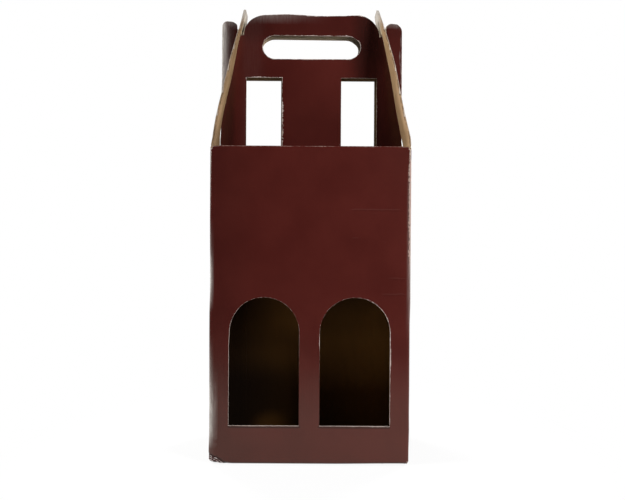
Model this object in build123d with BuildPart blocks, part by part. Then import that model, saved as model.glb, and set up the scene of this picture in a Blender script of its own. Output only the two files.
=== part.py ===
"""Bottle shipping box: a two-bottle carrying carton with a gable handle.

It is one die-cut sheet of printed micro-flute board, folded and glued, so it is one solid.
Millimetres. The box stands on z = 0 with its centre on the Z axis, and its windows face -Y.
The sheet is modelled as it lies when folded: a front strip and a back strip, each running
from its bottom flap up the wall, over the top and into its leaf of the handle, and two side
strips, each running from its bottom flap up the wall into a gable flap. The gable flaps drop
over the wings of the handle, and their bridges sit in the slits beside the wings.
"""

import os
from math import cos, radians, tan

from build123d import *

# The board and its folds
board = 1.8  # thickness
inner_radius = 0.3  # inside of a fold
fold_radius = board + inner_radius  # outside of a fold
layer_gap = 0.25  # between flaps that lie on each other

# The body, outside sizes
body_width = 165.0
body_depth = 83.0
body_height = 260.0  # floor to the top folds

# The two arched windows in the front wall
window_width = 57.7
window_height = 106.3  # sill to crown
window_sill = 30.0  # floor to sill
window_spacing = 75.0  # centre to centre

# The handle: two leaves that stand face to face with a gap between them
handle_thickness = 11.0  # over both leaves
handle_height = 122.0  # top folds to the handle's top edge
handle_corner_radius = 17.0
handle_fold_radius = 0.4  # printed side, where a leaf turns up from its top panel
crown_rise = 1.0  # the front leaf's worn top edge waves by this much
# The waves: places along the edge's straight half length, and parts of the rise
crown_waves = [(-0.55, 1.0), (0.1, -0.8), (0.65, 0.2)]
wing_height_left = 117.4
wing_height_right = 114.8
wing_corner_radius = 4.5
wing_inset = 3.0  # the leaves stop this far inside the body's sides

# The hand slot and the neck windows
grip_length = 86.0
grip_width = 22.1
grip_height = 94.2  # top folds to the slot's centre line
neck_width = 32.6
neck_height = 68.0  # top folds to the window's top edge
neck_reach = 17.0  # how far each window runs into the top panels, from the middle
neck_spacing = 83.0
back_shift = 1.2  # the back leaf's openings lie this far to the left of the front leaf's

# The gable flaps
gable_height = 126.0  # top folds to the flap's tip
gable_lean = 11.75  # degrees inward
gable_bend_height = 14.4  # where the lean would start if the bend were sharp
gable_bend_radius = 100.0
gable_inset = 3.0  # the flap is this much narrower than the wall, at each end of its fold
gable_knee_height = 76.0
gable_knee_width = 53.0
gable_knee_radius = 30.0
gable_tip_width = 17.0
gable_tip_radius = 5.0
crease_depth = 0.4
crease_width = 1.8

# The lock: the handle's wings stand through the gable slots
slot_clearance = 1.0  # beside the handle's leaves
slot_foot = 6.0  # top folds to the slot's lower end
slot_corner_radius = 2.0
slit_width = 5.8
slit_height = 105.0  # top folds to the slit's lower end
bridge_clearance = 0.6  # under the bridge

# The bottom flaps: the back flap lies inside, the side flaps under it, the front flap
# outside, and the front flap's tongue comes up through the notch and lies on the back flap
flap_foot = 5.0  # flat strip on the floor along each fold
side_ramp = 7.0
back_ramp = 11.0
tongue_ramp = 14.0
tongue_width = 52.0
tongue_length = 16.0  # past its ramp
tongue_corner_radius = 8.0
notch_clearance = 1.0  # round the tongue
front_flap_reach = 35.5  # from the front wall to the tongue's ramp
front_flap_margin = 11.4  # the mitre at each end
back_flap_reach = 58.0
side_flap_reach = 52.0
side_flap_slant = 14.0
mitre_gap = 1.1
relief_radius = 0.9  # die-cut hole at each bottom corner, where the flaps' folds meet

# The glue tab inside the back wall, at the left corner
tab_width = 20.0
tab_end_margin = 14.0
tab_slant = 8.0

cut_margin = 10.0  # how far the cutting shapes reach past the part

half_width = body_width / 2
half_depth = body_depth / 2
panel_half_width = half_width - fold_radius
panel_half_depth = half_depth - fold_radius
leaf_face = handle_thickness / 2
level = board + layer_gap
lean_slope = tan(radians(gable_lean))
gable_top = body_height + gable_height
beyond = gable_top + cut_margin
bottom_height = level * 4  # front flap, side flaps, back flap and tongue


def gable_face(height):
    """Distance of a gable flap's printed face from the middle, this far above the folds."""
    return half_width - (height - gable_bend_height) * lean_slope


slit_centre = gable_face(slit_height) - board / cos(radians(gable_lean)) / 2
handle_half_width = slit_centre - slit_width / 2
wing_root = slit_centre + slit_width / 2
wing_edge = half_width - wing_inset


def handle_strip(bottom_path, shift, crown):
    """A strip from its bottom flap to its leaf of the handle, folded, with its wall at -Y.

    bottom_path is the printed face of the bottom flap, from its free end to the wall.
    """
    bends = [fold_radius] * len(bottom_path)
    top_path = [
        (-half_depth, body_height),
        (-leaf_face, body_height),
        (-leaf_face, body_height + handle_height + crown_rise),
    ]
    with BuildPart() as strip:
        with BuildSketch(Plane.YZ):
            with BuildLine():
                FilletPolyline(
                    *bottom_path,
                    *top_path,
                    radius=[*bends, handle_fold_radius],
                )
                offset(amount=board, side=Side.RIGHT, closed=True)
            make_face()
        extrude(amount=panel_half_width, both=True)

        # Everything around the crown and the wings falls away
        with BuildSketch(Plane.XZ.offset(-half_depth)):
            with Locations((0, body_height + slit_height)):
                Rectangle(
                    body_width,
                    beyond - body_height - slit_height,
                    align=(Align.CENTER, Align.MIN),
                )
            with BuildSketch(mode=Mode.SUBTRACT):
                with BuildLine():
                    foot = body_height + neck_height
                    shoulder = body_height + handle_height - handle_corner_radius
                    top = body_height + handle_height
                    flat = handle_half_width - handle_corner_radius
                    left_foot = Line((0, foot), (-handle_half_width, foot))
                    left_edge = Line(left_foot @ 1, (-handle_half_width, shoulder))
                    left_arc = RadiusArc(left_edge @ 1, (-flat, top), handle_corner_radius)
                    if crown:
                        edge = Spline(
                            left_arc @ 1,
                            *[(flat * along, top + crown_rise * up) for along, up in crown_waves],
                            (flat, top),
                            tangents=[(1, 0), (1, 0)],
                        )
                    else:
                        edge = Line(left_arc @ 1, (flat, top))
                    right_arc = RadiusArc(edge @ 1, (handle_half_width, shoulder), handle_corner_radius)
                    right_edge = Line(right_arc @ 1, (handle_half_width, foot))
                    Line(right_edge @ 1, left_foot @ 0)
                make_face()
            for side, wing_height in ((-1, wing_height_left), (1, wing_height_right)):
                with BuildSketch(mode=Mode.SUBTRACT) as wing:
                    with Locations((side * (wing_root + wing_edge) / 2, body_height + slit_height)):
                        Rectangle(
                            wing_edge - wing_root,
                            wing_height - slit_height,
                            align=(Align.CENTER, Align.MIN),
                        )
                    crowns = wing.vertices().group_by(Axis.Y)[-1]
                    fillet(crowns, wing_corner_radius)
        extrude(amount=body_depth, both=True, mode=Mode.SUBTRACT)

        # Below the slits the leaf is one piece from wing to wing
        with BuildSketch(Plane.XZ):
            with Locations((0, body_height + handle_fold_radius)):
                with GridLocations(wing_edge * 2 + wing_inset, 0, 2, 1):
                    Rectangle(
                        wing_inset,
                        slit_height + handle_fold_radius,
                        align=(Align.CENTER, Align.MIN),
                    )
        extrude(amount=half_depth, mode=Mode.SUBTRACT)

        # The hand slot
        with BuildSketch(Plane.XZ):
            with Locations((shift, body_height + grip_height)):
                SlotOverall(grip_length, grip_width)
        extrude(amount=half_depth, mode=Mode.SUBTRACT)

        # The neck windows run down the leaf, round its fold and into the top panel
        with BuildSketch(Plane.XZ):
            with Locations((shift, body_height + neck_height)):
                with GridLocations(neck_spacing, 0, 2, 1):
                    Rectangle(
                        neck_width,
                        neck_height + fold_radius * 2,
                        align=(Align.CENTER, Align.MAX),
                    )
        extrude(amount=neck_reach, mode=Mode.SUBTRACT)
    return strip.part


def cut_flap(strip, outline):
    """The strip with its bottom flap cut to this outline, given in plan from the fold inward."""
    with BuildPart() as cut:
        add(strip)
        with BuildSketch(Plane.XY.offset(-board)):
            with Locations((0, -panel_half_depth)):
                Rectangle(body_width * 2, body_depth, align=(Align.CENTER, Align.MIN))
            with BuildSketch(mode=Mode.SUBTRACT) as kept:
                with BuildLine():
                    Polyline(*outline, close=True)
                make_face()
                tips = kept.vertices().group_by(Axis.Y)[-1]
                fillet(tips, tongue_corner_radius)
        extrude(amount=board + bottom_height, mode=Mode.SUBTRACT)
    return cut.part


# The front strip: the outer bottom flap, the windowed wall, the top panel and the front leaf
ramp_start = front_flap_reach - half_depth
ramp_end = ramp_start + tongue_ramp
tongue_end = ramp_end + tongue_length
front_half = panel_half_width - front_flap_margin
front_bottom = [
    (tongue_end, level * 3),
    (ramp_end, level * 3),
    (ramp_start, 0),
    (-half_depth, 0),
]
front_outline = [
    (-panel_half_width, -panel_half_depth),
    (panel_half_width, -panel_half_depth),
    (front_half, front_flap_margin - panel_half_depth),
    (front_half, ramp_start),
    (tongue_width / 2, ramp_start),
    (tongue_width / 2, tongue_end),
    (-tongue_width / 2, tongue_end),
    (-tongue_width / 2, ramp_start),
    (-front_half, ramp_start),
    (-front_half, front_flap_margin - panel_half_depth),
]
front_strip = cut_flap(
    handle_strip(front_bottom, 0, True),
    front_outline,
)

# The back strip, made with its wall at -Y like the front one and then turned round
back_step = flap_foot + back_ramp
back_half = panel_half_width - back_step
notch_half = tongue_width / 2 + notch_clearance
notch_edge = -ramp_end - notch_clearance
back_bottom = [
    (back_flap_reach - half_depth, level * 2),
    (back_step - half_depth, level * 2),
    (flap_foot - half_depth, 0),
    (-half_depth, 0),
]
back_outline = [
    (-panel_half_width, -panel_half_depth),
    (panel_half_width, -panel_half_depth),
    (back_half, back_step - panel_half_depth),
    (back_half, back_flap_reach - half_depth),
    (notch_half, back_flap_reach - half_depth),
    (notch_half, notch_edge),
    (-notch_half, notch_edge),
    (-notch_half, back_flap_reach - half_depth),
    (-back_half, back_flap_reach - half_depth),
    (-back_half, back_step - panel_half_depth),
]
back_strip = cut_flap(
    handle_strip(back_bottom, back_shift, False),
    back_outline,
)

# A side strip: the bottom flap, the wall and the gable flap, at +X
side_step = flap_foot + side_ramp
side_end = half_width - side_flap_reach
gable_tip = gable_face(gable_height)
with BuildPart() as side_strip:
    with BuildSketch(Plane.XZ):
        with BuildLine():
            FilletPolyline(
                (side_end, level),
                (half_width - side_step, level),
                (half_width - flap_foot, 0),
                (half_width, 0),
                (half_width, body_height + gable_bend_height),
                (gable_tip, gable_top),
                radius=[fold_radius, fold_radius, fold_radius, gable_bend_radius],
            )
            offset(amount=board, side=Side.LEFT, closed=True)
        make_face()
    extrude(amount=panel_half_depth, both=True)

    # The gable flap's outline: tapered, with a knee, a rounded tip and the slot
    with BuildSketch(Plane.YZ):
        with Locations((0, body_height)):
            Rectangle(body_depth, beyond - body_height, align=(Align.CENTER, Align.MIN))
        with BuildSketch(mode=Mode.SUBTRACT) as gable:
            with BuildLine():
                Polyline(
                    (half_depth - gable_inset, body_height),
                    (gable_knee_width / 2, body_height + gable_knee_height),
                    (gable_tip_width / 2, gable_top),
                    (-gable_tip_width / 2, gable_top),
                    (-gable_knee_width / 2, body_height + gable_knee_height),
                    (gable_inset - half_depth, body_height),
                    close=True,
                )
            make_face()
            rows = gable.vertices().group_by(Axis.Y)
            fillet(rows[1], gable_knee_radius)
            tips = gable.vertices().group_by(Axis.Y)[-1]
            fillet(tips, gable_tip_radius)
        slot_top = slit_height + bridge_clearance
        with Locations((0, body_height + slot_foot)):
            RectangleRounded(
                handle_thickness + slot_clearance * 2,
                slot_top - slot_foot,
                slot_corner_radius,
                align=(Align.CENTER, Align.MIN),
            )
    extrude(amount=body_width, mode=Mode.SUBTRACT)

    # The pressed crease where the gable flap meets the wall
    with BuildSketch(Plane.XZ):
        with Locations((half_width, body_height)):
            Ellipse(crease_depth, crease_width / 2)
    extrude(amount=half_depth, both=True, mode=Mode.SUBTRACT)

    # The bottom flap, mitred beside the front and back flaps, with a slanted inner end
    with BuildSketch(Plane.XY.offset(-board)):
        Rectangle(panel_half_width, body_depth, align=(Align.MIN, Align.CENTER))
        with BuildSketch(mode=Mode.SUBTRACT):
            with BuildLine():
                front_edge = -panel_half_depth + mitre_gap
                back_edge = panel_half_depth - mitre_gap
                Polyline(
                    (panel_half_width, front_edge),
                    (panel_half_width, back_edge),
                    (panel_half_width - back_step, back_edge - back_step),
                    (side_end + side_flap_slant, back_edge - back_step),
                    (side_end, front_edge + side_step),
                    (panel_half_width - side_step, front_edge + side_step),
                    close=True,
                )
            make_face()
    extrude(amount=board + bottom_height, mode=Mode.SUBTRACT)

# The folded sheet: the strips joined by the four upright folds
with BuildPart() as carton:
    with BuildSketch(Plane.XY.offset(fold_radius)):
        with BuildSketch() as outside:
            Rectangle(body_width, body_depth)
            # The back left corner is the seam: there the back wall ends in a plain cut
            corners = outside.vertices().sort_by(Axis.X)
            seam = corners[:2].sort_by(Axis.Y)[-1]
            fillet([corner for corner in corners if corner != seam], fold_radius)
        with BuildSketch(mode=Mode.SUBTRACT) as inside:
            Rectangle(body_width - board * 2, body_depth - board * 2)
            fillet(inside.vertices(), inner_radius)
    extrude(amount=body_height - fold_radius * 2)

    add(front_strip)
    add(back_strip, rotation=(0, 0, 180))
    add(side_strip.part)
    mirror(side_strip.part, about=Plane.YZ)

    # The reliefs at the bottom corners
    with BuildSketch():
        with GridLocations(panel_half_width * 2, panel_half_depth * 2, 2, 2):
            Circle(relief_radius)
    extrude(amount=fold_radius, mode=Mode.SUBTRACT)

    # The glue tab, on the inside of the back wall
    with BuildSketch(Plane.XZ.offset(board - half_depth)):
        with BuildLine():
            tab_edge = board - half_width
            tab_foot = tab_end_margin
            tab_head = body_height - tab_end_margin
            Polyline(
                (tab_edge, tab_foot),
                (tab_edge + tab_width, tab_foot + tab_slant),
                (tab_edge + tab_width, tab_head - tab_slant),
                (tab_edge, tab_head),
                close=True,
            )
        make_face()
    extrude(amount=board)

    # The arched windows
    with BuildSketch(Plane.XZ.offset(half_depth)):
        crown_radius = window_width / 2
        with Locations((0, window_sill)):
            with GridLocations(window_spacing, 0, 2, 1):
                Rectangle(
                    window_width,
                    window_height - crown_radius,
                    align=(Align.CENTER, Align.MIN),
                )
        with Locations((0, window_sill + window_height - crown_radius)):
            with GridLocations(window_spacing, 0, 2, 1):
                Circle(crown_radius)
    extrude(amount=-fold_radius, mode=Mode.SUBTRACT)

carton.part.label = "carton"
os.makedirs("parts", exist_ok=True)
export_step(carton.part, "parts/carton.step")
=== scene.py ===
"""Looks of the bottle shipping box: worn burgundy print, bare kraft and cut board edges."""
import math

import bmesh
import bpy
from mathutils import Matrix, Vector, noise
from mathutils.bvhtree import BVHTree
from mathutils.kdtree import KDTree


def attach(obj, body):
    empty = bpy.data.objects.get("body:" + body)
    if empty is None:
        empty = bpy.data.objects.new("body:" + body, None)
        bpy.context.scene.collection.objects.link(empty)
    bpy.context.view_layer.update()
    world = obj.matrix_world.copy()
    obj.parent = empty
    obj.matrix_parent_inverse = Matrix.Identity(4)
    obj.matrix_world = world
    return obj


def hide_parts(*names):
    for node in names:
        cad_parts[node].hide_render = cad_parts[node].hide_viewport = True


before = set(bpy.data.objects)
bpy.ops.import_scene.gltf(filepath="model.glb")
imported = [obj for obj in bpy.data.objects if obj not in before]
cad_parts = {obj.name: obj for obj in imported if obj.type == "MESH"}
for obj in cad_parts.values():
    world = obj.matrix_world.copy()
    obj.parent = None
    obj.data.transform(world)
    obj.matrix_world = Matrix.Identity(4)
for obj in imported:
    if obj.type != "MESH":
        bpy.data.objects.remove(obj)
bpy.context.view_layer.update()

MM = 0.001
PRINT, KRAFT, EDGE = 0, 1, 2
X, Y, Z = 0, 1, 2

# The sheet as the CAD has it, in millimetres
HALF_WIDTH = 82.5
HALF_DEPTH = 41.5
FOLD_TOP = 260.0
BOARD = 1.8
SEAM_EDGE = HALF_DEPTH - BOARD
BOTTOM_ZONE = 9.0
TOP_ZONE = (255.0, 262.0)
THICKEST = 3.8  # two layers: the glue tab on the back wall
LEAF_FACE = 5.5
NECK_TOP = 328.0
GRIP_BOTTOM = 343.0
WING_START = 55.0
ARCH_MIDDLE = 37.5
OVER_ARCHES = 140.0

# The gable flaps' board: how far in it stands, where it starts to lean, and its slot
FLAP_INSET = 0.77
FLAP_KNEE = 14.4
FLAP_SLOPE = 0.208  # how far it leans in for each millimetre of height
FLAP_NEAR = 1.6
FLAP_SLOT = (6.1, 105.3)

# How near a point has to be to count as being there, and the same for directions
SKIN = 0.1
SLACK = 0.5
NEAR_FOLD = 3.0
FLAP_FOLD = (0.6, 1.1)
ON_SEAM = 0.01
FACING = 0.99
SIDEWAYS = 0.6

RAY_START = 0.01  # how far under a face the ray through the board starts

# The grid that lets the flat panels bend
GRID = 4.0
WELD = 1e-6
FLAT_ANGLE = 0.002
SHARP_ANGLE = math.radians(38)
RIM_STEP = 0.5
RIM_ERROR = 0.15  # the most that a face's middle may be off the rim distance of its corners

# Horizontal creases in the front wall: height, left end, right end, depth
CREASES = [
    (219.0, 59.0, 64.5, 0.03),
    (208.4, 30.5, 75.5, 0.06),
    (205.2, 49.0, 56.5, 0.03),
    (185.0, 32.0, 41.5, 0.05),
    (182.0, 57.5, 64.5, 0.03),
    (152.4, 62.0, 81.0, 0.05),
    (139.3, 57.0, 80.0, 0.06),
]
CREASE_HALF = 0.9

# The crushed corner at the bottom front left
CRUSH_CORNER = (-HALF_WIDTH, -HALF_DEPTH, 0.0)
CRUSH_REACH = 17.0
CRUSH_MARGIN = 2.0
CRUSH_FINE = 0.45
CRUSH_SLANT = (0.473, 0.473, 0.881)  # across the crease that cuts the corner off
CRUSH_HEIGHT = 8.6  # where that crease meets the upright fold
CRUMPLE_PITCH = 1.85

# How worn the upright folds at the front are: height and wear, where 1 is fully round.
# At the left it also sets the painted sheen along the fold; above 1 it adds painted sheen only
LEFT_ROUND = [
    (0, 0.05), (12, 0.1), (20, 0.7), (27, 1.1), (43, 1.1), (55, 0.85), (68, 0.6),
    (80, 0.4), (92, 0.2), (106, 0.0), (123, 0.0), (131, 0.4), (138, 0.9), (151, 1.35),
    (160, 1.05), (167, 0.8), (176, 0.4), (186, 0.2), (202, 0.0), (260, 0.0),
]
RIGHT_ROUND = [
    (0, 0.2), (30, 0.3), (100, 0.25), (130, 0.25), (150, 0.4), (190, 0.4), (212, 0.1),
    (260, 0.0),
]
ROUND_REACH = 6.5
ROUND_DEPTH = 1.3
ROUND_ASIDE = 0.45

# How bright the inside is painted, from left to right: place and painted light
INSIDE_PAINTED_LIGHT = [(-66, 0.08), (-45, 0.21), (-25, 0.40), (23, 0.53), (43, 0.68), (64, 1.0)]

# How far in the gable flaps bend: height and bend in millimetres
GABLE_LEFT = [
    (260, 0.0), (264, 0.6), (268, 1.2), (277, 1.4), (286, 1.1), (296, 0.8), (305, 0.9),
    (326, 0.8), (342, 0.65), (355, 0.55), (360, 0.65), (366, 1.3), (374, 1.6), (386, 1.4),
]
GABLE_RIGHT = [
    (260, 0.0), (268, 0.1), (272, 0.7), (278, 1.4), (286, 1.6), (296, 1.4), (330, 0.1),
    (360, 0.1), (386, 1.0),
]

# How far the left flap is warped out again behind its front rim: height and warp
LEFT_WARP = [
    (262, 0.0), (276, 1.4), (289, 1.7), (307, 1.6), (325, 1.0), (345, 1.1), (360, 1.5),
    (372, 1.7), (386, 1.7),
]

# How far the front leaf's upper rim hangs: place from left to right, and drop
CROWN_DROP = [
    (-79, 1.0), (-73, 1.1), (-69.5, 1.8), (-67.5, 2.1), (-65.5, 1.3), (-61, 0.9), (-48, 0.9),
    (-43, 0.3), (-36, 0.2), (-29, 0.45), (-15, 0.4), (-8, 0.0), (8, 0.0), (14, 0.35),
    (21, 0.6), (28, 0.9), (35, 0.3), (42, 0.0), (49, 1.0), (56, 1.8), (61, 2.0), (66, 0.0),
    (72, 0.1), (75, 0.4), (77.2, 1.5), (79.5, 2.2),
]

# How far the right side leans in low down: height and lean in millimetres
LOW_LEAN = [(0, 0.9), (11, 0.85), (27, 0.45), (41, 0.6), (60, 0.5), (115, 0.5), (132, 0.0)]

# The left wing of the front leaf curls back towards its outer edge
CURL_START = 65.5
CURL_WIDTH = 14.0
CURL_ANGLE = math.radians(24)
CURL_MOST = 1.2


def smooth(low, high, value):
    """0 below low, 1 above high, smooth between."""
    part = min(max((value - low) / (high - low), 0.0), 1.0)
    return part * part * (3 - 2 * part)


def grain(x, y, z, size, seed=0.0):
    """Smooth noise from -1 to 1 with waves of about this size in millimetres."""
    return noise.noise(Vector((x / size + seed, y / size - seed, z / size + seed * 2)))


def along(table, value):
    """The value of a table of (place, value) pairs, in straight lines between its places."""
    for (low, first), (high, second) in zip(table, table[1:]):
        if value <= high:
            return first + (second - first) * max(value - low, 0.0) / (high - low)
    return table[-1][1]


def patch(point, strength, *ramps):
    """A soft patch: its strength times ramps, each an axis and where it is 0 and 1."""
    for axis, low, high in ramps:
        strength *= smooth(low, high, point[axis])
    return strength


def strongest(zones, point):
    """The strongest of several soft patches at a point."""
    return max(patch(point, *zone) for zone in zones)


def on_flap(x, y, z):
    """Whether a point above the top folds is on a gable flap, and not on a leaf."""
    if abs(y) > LEAF_FACE + SLACK:
        return True
    if FOLD_TOP + FLAP_SLOT[0] < z < FOLD_TOP + FLAP_SLOT[1]:
        return False
    middle = HALF_WIDTH - FLAP_INSET - FLAP_SLOPE * max(z - FOLD_TOP - FLAP_KNEE, 0.0)
    return abs(abs(x) - middle) < FLAP_NEAR


def crush_depth(x, y, z):
    """Millimetres from the crease that cuts the crushed corner off, negative beyond it."""
    across = (CRUSH_SLANT[0] * (x + HALF_WIDTH) + CRUSH_SLANT[1] * (y + HALF_DEPTH)
              + CRUSH_SLANT[2] * (z - CRUSH_HEIGHT))
    return across + 0.5 * grain(x, y, z, 4.0, 6.1)


# The sheet's mesh: which faces are print, kraft or cut edge, and a grid over them

def outward(centre, normal):
    """Positive where a face of the sheet looks out of the box, so where it is printed."""
    x, y, z = centre / MM
    value = math.copysign(normal.x, normal.x * x) + math.copysign(normal.y, normal.y * y)
    if z < BOTTOM_ZONE:
        value -= normal.z
    if TOP_ZONE[0] < z < TOP_ZONE[1]:
        value += normal.z
    return value


def outermost(centre, normal):
    """True on the outer faces of the body, which are printed whatever lies behind them."""
    x, y, z = centre / MM
    if normal.z < -FACING and z < SKIN:
        return True
    if z > FOLD_TOP:
        return False
    on_side = abs(x) > HALF_WIDTH - SKIN and normal.x * x > FACING * abs(x)
    on_wall = abs(y) > HALF_DEPTH - SKIN and normal.y * y > FACING * abs(y)
    return on_side or on_wall


def on_flap_fold(centre, normal):
    """True on the outer faces of a gable flap's fold."""
    x, y, z = centre / MM
    near = abs(x) > HALF_WIDTH - FLAP_FOLD[0] and abs(z - FOLD_TOP) < FLAP_FOLD[1]
    return near and normal.x * centre.x > 0


def sort_faces(bm):
    """Give each face the material number of its kind."""
    tree = BVHTree.FromBMesh(bm)
    for face in bm.faces:
        centre = face.calc_center_median()
        normal = face.normal
        start = centre - normal * RAY_START * MM
        hit = tree.ray_cast(start, -normal, THICKEST * MM)
        if outermost(centre, normal) or on_flap_fold(centre, normal):
            face.material_index = PRINT
        elif hit[0] is None:
            face.material_index = EDGE
        elif outward(centre, normal) > 0:
            face.material_index = PRINT
        else:
            face.material_index = KRAFT


def cut(bm, faces, point, normal):
    """Divide these faces, or the whole sheet, along a plane; returns them as divided."""
    if faces is None:
        parts = bm.verts[:] + bm.edges[:] + bm.faces[:]
    else:
        parts = set(faces)
        for face in faces:
            parts.update(face.edges)
            parts.update(face.verts)
    result = bmesh.ops.bisect_plane(
        bm, geom=list(parts), dist=WELD,
        plane_co=Vector(point) * MM, plane_no=Vector(normal),
    )
    return [part for part in result["geom"] if isinstance(part, bmesh.types.BMFace)]


def cut_seam(bm):
    """The back wall's cut end shows as a strip of the left side, at the back corner."""
    left = SKIN - HALF_WIDTH
    side = [face for face in bm.faces if face.material_index == PRINT
            and face.normal.x < -FACING and face.calc_center_median().x / MM < left]
    cut(bm, side, (0, SEAM_EDGE, 0), (0, 1, 0))
    for face in bm.faces:
        centre = face.calc_center_median() / MM
        if centre.x < left and centre.y > SEAM_EDGE and centre.z < FOLD_TOP:
            if face.normal.x < -FACING:
                face.material_index = EDGE


def on_axis(axis, value):
    """The point at this value on an axis."""
    return [value if way == axis else 0 for way in range(3)]


def grid_lines(low, high):
    """Even steps of about one grid cell, without the ends."""
    count = round((high - low) / GRID)
    return [low + (high - low) * step / count for step in range(1, count)]


def cut_grid(bm):
    """Divide the whole sheet into grid cells along X, Y and Z."""
    top = max(vert.co.z for vert in bm.verts) / MM
    spans = ((-HALF_WIDTH, HALF_WIDTH), (-HALF_DEPTH, HALF_DEPTH), (0, top))
    for axis, (low, high) in enumerate(spans):
        for value in grid_lines(low, high):
            cut(bm, None, on_axis(axis, value), on_axis(axis, 1))


def cut_creases(bm):
    """Finer rows where the front wall is creased."""
    wall = []
    for face in bm.faces:
        if face.material_index == PRINT and face.normal.y < -FACING:
            if face.calc_center_median().y / MM < SKIN - HALF_DEPTH:
                wall.append(face)
    for height, *_ in CREASES:
        for shift in (-CREASE_HALF, -CREASE_HALF / 3, CREASE_HALF / 3, CREASE_HALF):
            wall = cut(bm, wall, (0, 0, height + shift), (0, 0, 1))


def cut_corner(bm):
    """A fine grid at the crushed corner."""
    near = []
    for face in bm.faces:
        if min(crush_depth(*vert.co / MM) for vert in face.verts) < CRUSH_MARGIN:
            near.append(face)
    for axis, start in enumerate(CRUSH_CORNER):
        for step in range(1, int(CRUSH_REACH / CRUSH_FINE)):
            point = on_axis(axis, start + step * CRUSH_FINE)
            near = cut(bm, near, point, on_axis(axis, 1))


# What the materials need to know about each point of the sheet

RIDGE = 0.6  # how far inside the outline the ridge of a fold lies
NO_FOLD = 50.0
FAR = 20.0

# Soft patches: strength, then ramps with their axis, where they are 0 and where they are 1
RIGHT_FOLD_WEAR = [
    (2.1, (Z, 209, 214), (Z, 252, 245)),
    (1.5, (Z, 160, 172), (Z, 214, 208)),
]
# Painted shade at the hand slot's right end
SLOT_END_DARK = (0.35, (X, 31, 37), (Z, GRIP_BOTTOM, GRIP_BOTTOM + 3))
# Painted highlight along the right upright fold
RIGHT_FOLD_PAINTED_SHEEN = (0.38, (Z, 95, 150), (Z, 245, 215))
# Painted sheen: pale painted reflections on the wings and the leaf's rim
LEAF_PAINTED_SHEEN = [
    (0.22, (Z, 370, 375), (X, 62, 66), (X, 80, 75)),
    (0.24, (Z, 371, 376), (X, -64, -67)),
    (0.20, (Z, 374, 383), (X, 20, -45), (X, -61, -55)),
    (0.016, (X, -38, -50), (X, -64, -58)),
]
# Painted shade on the front wall: darker at the left and at the top right, and a painted contact
# shadow along the bottom
WALL_SHADE = [
    (0.34, (X, -35, -80)),
    (0.22, (X, 35, 80), (Z, 205, 255)),
    (0.5, (Z, 2.6, 0.8)),
]
# Painted shade on the front leaf: its wings and its top
LEAF_SHADE = [
    (0.2, (X, 60, 66)),
    (0.75, (X, -65, -70)),
    (0.45, (Z, 352, 372)),
]


def tree_of(points):
    """A search tree that finds the nearest of these points."""
    tree = KDTree(len(points))
    for index, point in enumerate(points):
        tree.insert(point, index)
    tree.balance()
    return tree


def border_points(bm):
    """Points along every line where a face of the sheet meets a cut edge."""
    points = []
    for edge in bm.edges:
        kinds = {face.material_index for face in edge.link_faces}
        if EDGE in kinds and len(kinds) > 1:
            first, second = (vert.co for vert in edge.verts)
            count = max(1, round((second - first).length / (RIM_STEP * MM)))
            for step in range(count + 1):
                points.append(first.lerp(second, step / count))
    return tree_of(points)


def fold_distance(x, y, z):
    """Millimetres from the middle of the nearest printed fold."""
    side = HALF_WIDTH - abs(x)
    wall = HALF_DEPTH - abs(y)
    away = [NO_FOLD]
    if z < FOLD_TOP + 1:
        away.append(math.hypot(side - RIDGE, wall - RIDGE))
        away.append(math.hypot(wall - RIDGE, FOLD_TOP - z - RIDGE))
        away.append(math.hypot(wall - RIDGE, z - RIDGE))
        away.append(math.hypot(side - RIDGE, z - RIDGE))
    if side < 1.0:
        away.append(math.hypot(side, z - FOLD_TOP))
    return min(away)


def arch_wear(x, z):
    """How far the print is worn from the rim of an arched window, in millimetres."""
    right_side = smooth(0.0, 20.0, x - math.copysign(ARCH_MIDDLE, x))
    worn = 0.10 + 0.08 * grain(x, 0, z, 9)
    if x > 0:
        worn += 0.22 * right_side
    if z < 33:  # the sills
        worn = 0.12 + 0.18 * grain(x, 0, z, 9)
    if x > 0:
        worn += 0.3 * smooth(6, 2, abs(z - 100)) * (1 - right_side)
        worn += 0.3 * smooth(14, 4, abs(z - 86)) * right_side
    return worn


def leaf_wear(x, z):
    """How far the print is worn from a rim of the front leaf, in millimetres."""
    if abs(z - NECK_TOP) < 2 and x < 0:  # the left neck window's top
        return 0.5 + 0.9 * smooth(5, 2, abs(x + 47))
    if z > GRIP_BOTTOM - 3 and abs(x) < 46:  # the hand slot
        return 0.40 + 0.3 * grain(x, 0, z, 6, 8.8)
    if 54 < x < 61 and z < NECK_TOP - 3:  # the right neck window's right rim
        return 0.15
    if -28 < x < -22 and z < NECK_TOP - 3:  # the left neck window's right rim
        worn = 0.2 + 0.65 * smooth(262, 268, z) * smooth(312, 300, z)
        return worn + 0.5 * grain(x, 0, z, 5, 3.3)
    return 0.12


def rim_wear(x, y, z):
    """How far print or kraft is worn from a cut edge at this place, in millimetres."""
    if y < NEAR_FOLD - HALF_DEPTH and z < OVER_ARCHES:
        return arch_wear(x, z)
    if y < 0 and z > FOLD_TOP and not on_flap(x, y, z):
        return leaf_wear(x, z)
    if z > FOLD_TOP:
        return 0.14 + 0.16 * grain(x, y, z, 8, 2.2)
    return 0.25


def fold_wear(x, y, z):
    """How far from the ridge of a fold the print is worn through, in millimetres."""
    front = y < NEAR_FOLD - HALF_DEPTH
    side = abs(x) > HALF_WIDTH - NEAR_FOLD
    worn = 0.05
    if front and z > FOLD_TOP - 3:
        worn = 0.17 + 0.12 * grain(x, 0, 0, 14)
    elif front and side:
        worn = sum(patch((x, y, z), *zone) for zone in RIGHT_FOLD_WEAR) if x > 0 else 0.0
    elif side:
        worn = 0.10 + 0.10 * grain(x, y, z, 12, 4.4)
    if z < 3 and not front:
        worn = max(worn, 0.3)
    return worn


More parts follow.
